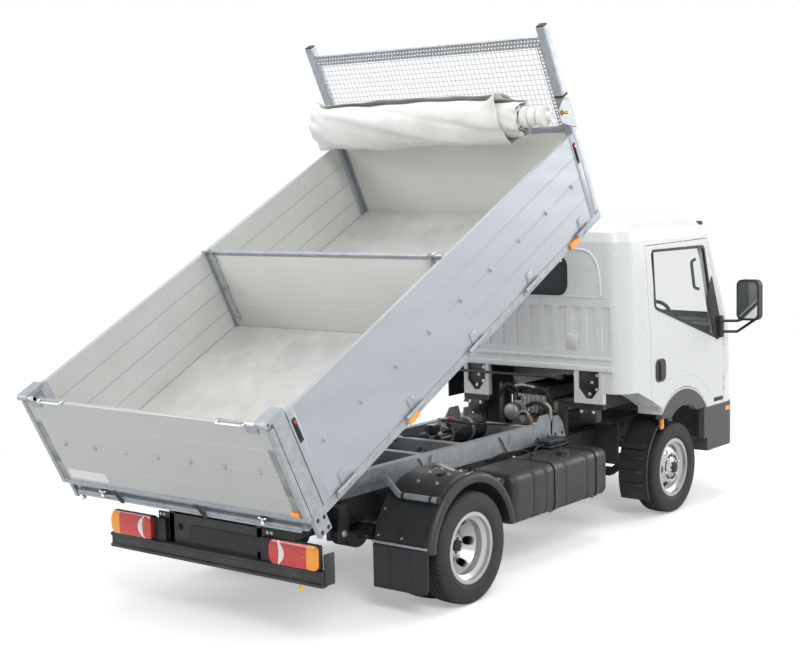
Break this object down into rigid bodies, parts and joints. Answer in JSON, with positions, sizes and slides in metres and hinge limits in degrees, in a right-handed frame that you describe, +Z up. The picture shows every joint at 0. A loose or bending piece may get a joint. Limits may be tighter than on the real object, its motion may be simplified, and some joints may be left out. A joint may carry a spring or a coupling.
{
  "type": "dump truck",
  "caption": "Light tipper truck with a short cab, a raised three-way bed with drop sides, a tailgate, a partition and a headboard with rolled tarpaulin.",
  "frame": {"origin": "on the ground, below the middle of the whole truck's bounding box", "axes": "+X forwards, +Y to the truck's left, +Z up; stored with the bed raised as in the picture"},
  "size_m": [5.7102, 2.47, 3.576],
  "materials": {
    "white_paint": "gloss",
    "chassis_black": "satin",
    "galvanised": "matt, mottled",
    "bed_grey": "satin",
    "board_alloy": "satin, anodised",
    "tarp": "matt",
    "tyre": "matt",
    "rim_silver": "satin",
    "dark_plastic": "matt",
    "window": "clear",
    "lamp": "gloss",
    "head_lamp": "gloss",
    "cast_iron": "rough",
    "ram_steel": "polished",
    "exhaust_steel": "heat-stained",
    "seat_cloth": "matt"
  },
  "bodies": {
    "chassis": {"chassis_frame": "chassis_black", "subframe": "galvanised", "front_axle": "chassis_black", "leaf_springs": "chassis_black", "rear_axle": "chassis_black", "engine": "cast_iron", "fuel_tank": "dark_plastic", "battery_box": "dark_plastic", "hydraulic_pack": "chassis_black", "rear_mudguards": "dark_plastic", "mudguard_stays": "galvanised", "exhaust": "exhaust_steel", "underrun_bar": "chassis_black", "tail_lamps": "lamp", "front_mudguards": "dark_plastic"},
    "bed": {"bed_frame": "galvanised", "corner_posts": "galvanised", "bed_floor": "bed_grey", "headboard": "galvanised", "partition": "white_paint", "tarp_roll": "tarp"},
    "board_left": {"board_left": "bed_grey"},
    "board_right": {"board_right": "bed_grey"},
    "tailgate": {"tailgate": "board_alloy"},
    "ram_barrel": {"ram_barrel": "chassis_black"},
    "ram_stage_1": {"ram_stage_1": "ram_steel"},
    "ram_stage_2": {"ram_stage_2": "ram_steel"},
    "ram_stage_3": {"ram_stage_3": "ram_steel"},
    "ram_stage_4": {"ram_stage_4": "ram_steel"},
    "cab": {"cab_shell": "white_paint", "cab_glass": "window", "bumper": "dark_plastic", "grille": "dark_plastic", "head_lamps": "head_lamp", "cab_flares": "dark_plastic", "dashboard": "dark_plastic", "seats": "seat_cloth"},
    "door_left": {"door_left": "white_paint", "door_glass_left": "window", "mirror_left": "dark_plastic"},
    "door_right": {"door_right": "white_paint", "door_glass_right": "window", "mirror_right": "dark_plastic"},
    "knuckle_left": {"knuckle_left": "cast_iron"},
    "knuckle_right": {"knuckle_right": "cast_iron"},
    "wheel_front_left": {"tyre_front_left": "tyre", "rim_front_left": "rim_silver"},
    "wheel_front_right": {"tyre_front_right": "tyre", "rim_front_right": "rim_silver"},
    "wheel_rear_left": {"tyres_rear_left": "tyre", "rims_rear_left": "rim_silver"},
    "wheel_rear_right": {"tyres_rear_right": "tyre", "rims_rear_right": "rim_silver"}
  },
  "joints": [
    {"name": "bed_tip", "type": "hinge", "parent": "chassis", "child": "bed", "pos_m": [-2.27579, 0, 0.834], "axis": [0, -1, 0], "range_deg": [-27.27, 17.73]},
    {"name": "ram_swing", "type": "hinge", "parent": "chassis", "child": "ram_barrel", "pos_m": [-0.95879, 0, 0.545], "axis": [0, -1, 0], "range_deg": [-20.4, 13.6]},
    {"name": "ram_slide_1", "type": "slide", "parent": "ram_barrel", "child": "ram_stage_1", "axis": [-0.0407, 0, 0.9992], "range_m": [-0.1557, 0.1016]},
    {"name": "ram_slide_2", "type": "slide", "parent": "ram_stage_1", "child": "ram_stage_2", "axis": [-0.0407, 0, 0.9992], "range_m": [-0.1557, 0.1016]},
    {"name": "ram_slide_3", "type": "slide", "parent": "ram_stage_2", "child": "ram_stage_3", "axis": [-0.0407, 0, 0.9992], "range_m": [-0.1557, 0.1016]},
    {"name": "ram_slide_4", "type": "slide", "parent": "ram_stage_3", "child": "ram_stage_4", "axis": [-0.0407, 0, 0.9992], "range_m": [-0.1557, 0.1016]},
    {"name": "board_left_drop", "type": "hinge", "parent": "bed", "child": "board_left", "pos_m": [-1.04668, 1.03, 1.59133], "axis": [-0.8889, 0, -0.4582], "range_deg": [0, 180]},
    {"name": "board_right_drop", "type": "hinge", "parent": "bed", "child": "board_right", "pos_m": [-1.04668, -1.03, 1.59133], "axis": [0.8889, 0, 0.4582], "range_deg": [0, 180]},
    {"name": "tailgate_swing", "type": "hinge", "parent": "bed", "child": "tailgate", "pos_m": [-2.83921, 0, 1.37047], "axis": [0, 1, 0], "range_deg": [0, 90]},
    {"name": "cab_tilt", "type": "hinge", "parent": "chassis", "child": "cab", "pos_m": [2.57121, 0, 0.55], "axis": [0, 1, 0], "range_deg": [0, 45]},
    {"name": "door_left_swing", "type": "hinge", "parent": "cab", "child": "door_left", "pos_m": [2.52921, 0.905, 1], "axis": [0, 0, -1], "range_deg": [0, 65]},
    {"name": "door_right_swing", "type": "hinge", "parent": "cab", "child": "door_right", "pos_m": [2.52921, -0.905, 1], "axis": [0, 0, 1], "range_deg": [0, 65]},
    {"name": "steer_left", "type": "hinge", "parent": "chassis", "child": "knuckle_left", "pos_m": [1.83121, 0.66, 0.35], "axis": [0, 0, 1], "range_deg": [-33, 33]},
    {"name": "wheel_front_left_spin", "type": "hinge", "parent": "knuckle_left", "child": "wheel_front_left", "pos_m": [1.83121, 0.75, 0.35], "axis": [0, 1, 0], "continuous": true},
    {"name": "wheel_rear_left_spin", "type": "hinge", "parent": "chassis", "child": "wheel_rear_left", "pos_m": [-1.04879, 0.907, 0.35], "axis": [0, 1, 0], "continuous": true},
    {"name": "steer_right", "type": "hinge", "parent": "chassis", "child": "knuckle_right", "pos_m": [1.83121, -0.66, 0.35], "axis": [0, 0, 1], "range_deg": [-33, 33]},
    {"name": "wheel_front_right_spin", "type": "hinge", "parent": "knuckle_right", "child": "wheel_front_right", "pos_m": [1.83121, -0.75, 0.35], "axis": [0, 1, 0], "continuous": true},
    {"name": "wheel_rear_right_spin", "type": "hinge", "parent": "chassis", "child": "wheel_rear_right", "pos_m": [-1.04879, -0.907, 0.35], "axis": [0, 1, 0], "continuous": true}
  ],
  "couplings": [
    {"joint": "ram_swing", "follows": "bed_tip", "ratio": 0.71},
    {"joint": "ram_slide_1", "follows": "bed_tip", "m_per_rad": 0.325},
    {"joint": "ram_slide_2", "follows": "bed_tip", "m_per_rad": 0.325},
    {"joint": "ram_slide_3", "follows": "bed_tip", "m_per_rad": 0.325},
    {"joint": "ram_slide_4", "follows": "bed_tip", "m_per_rad": 0.325},
    {"joint": "steer_right", "follows": "steer_left", "ratio": 1}
  ]
}
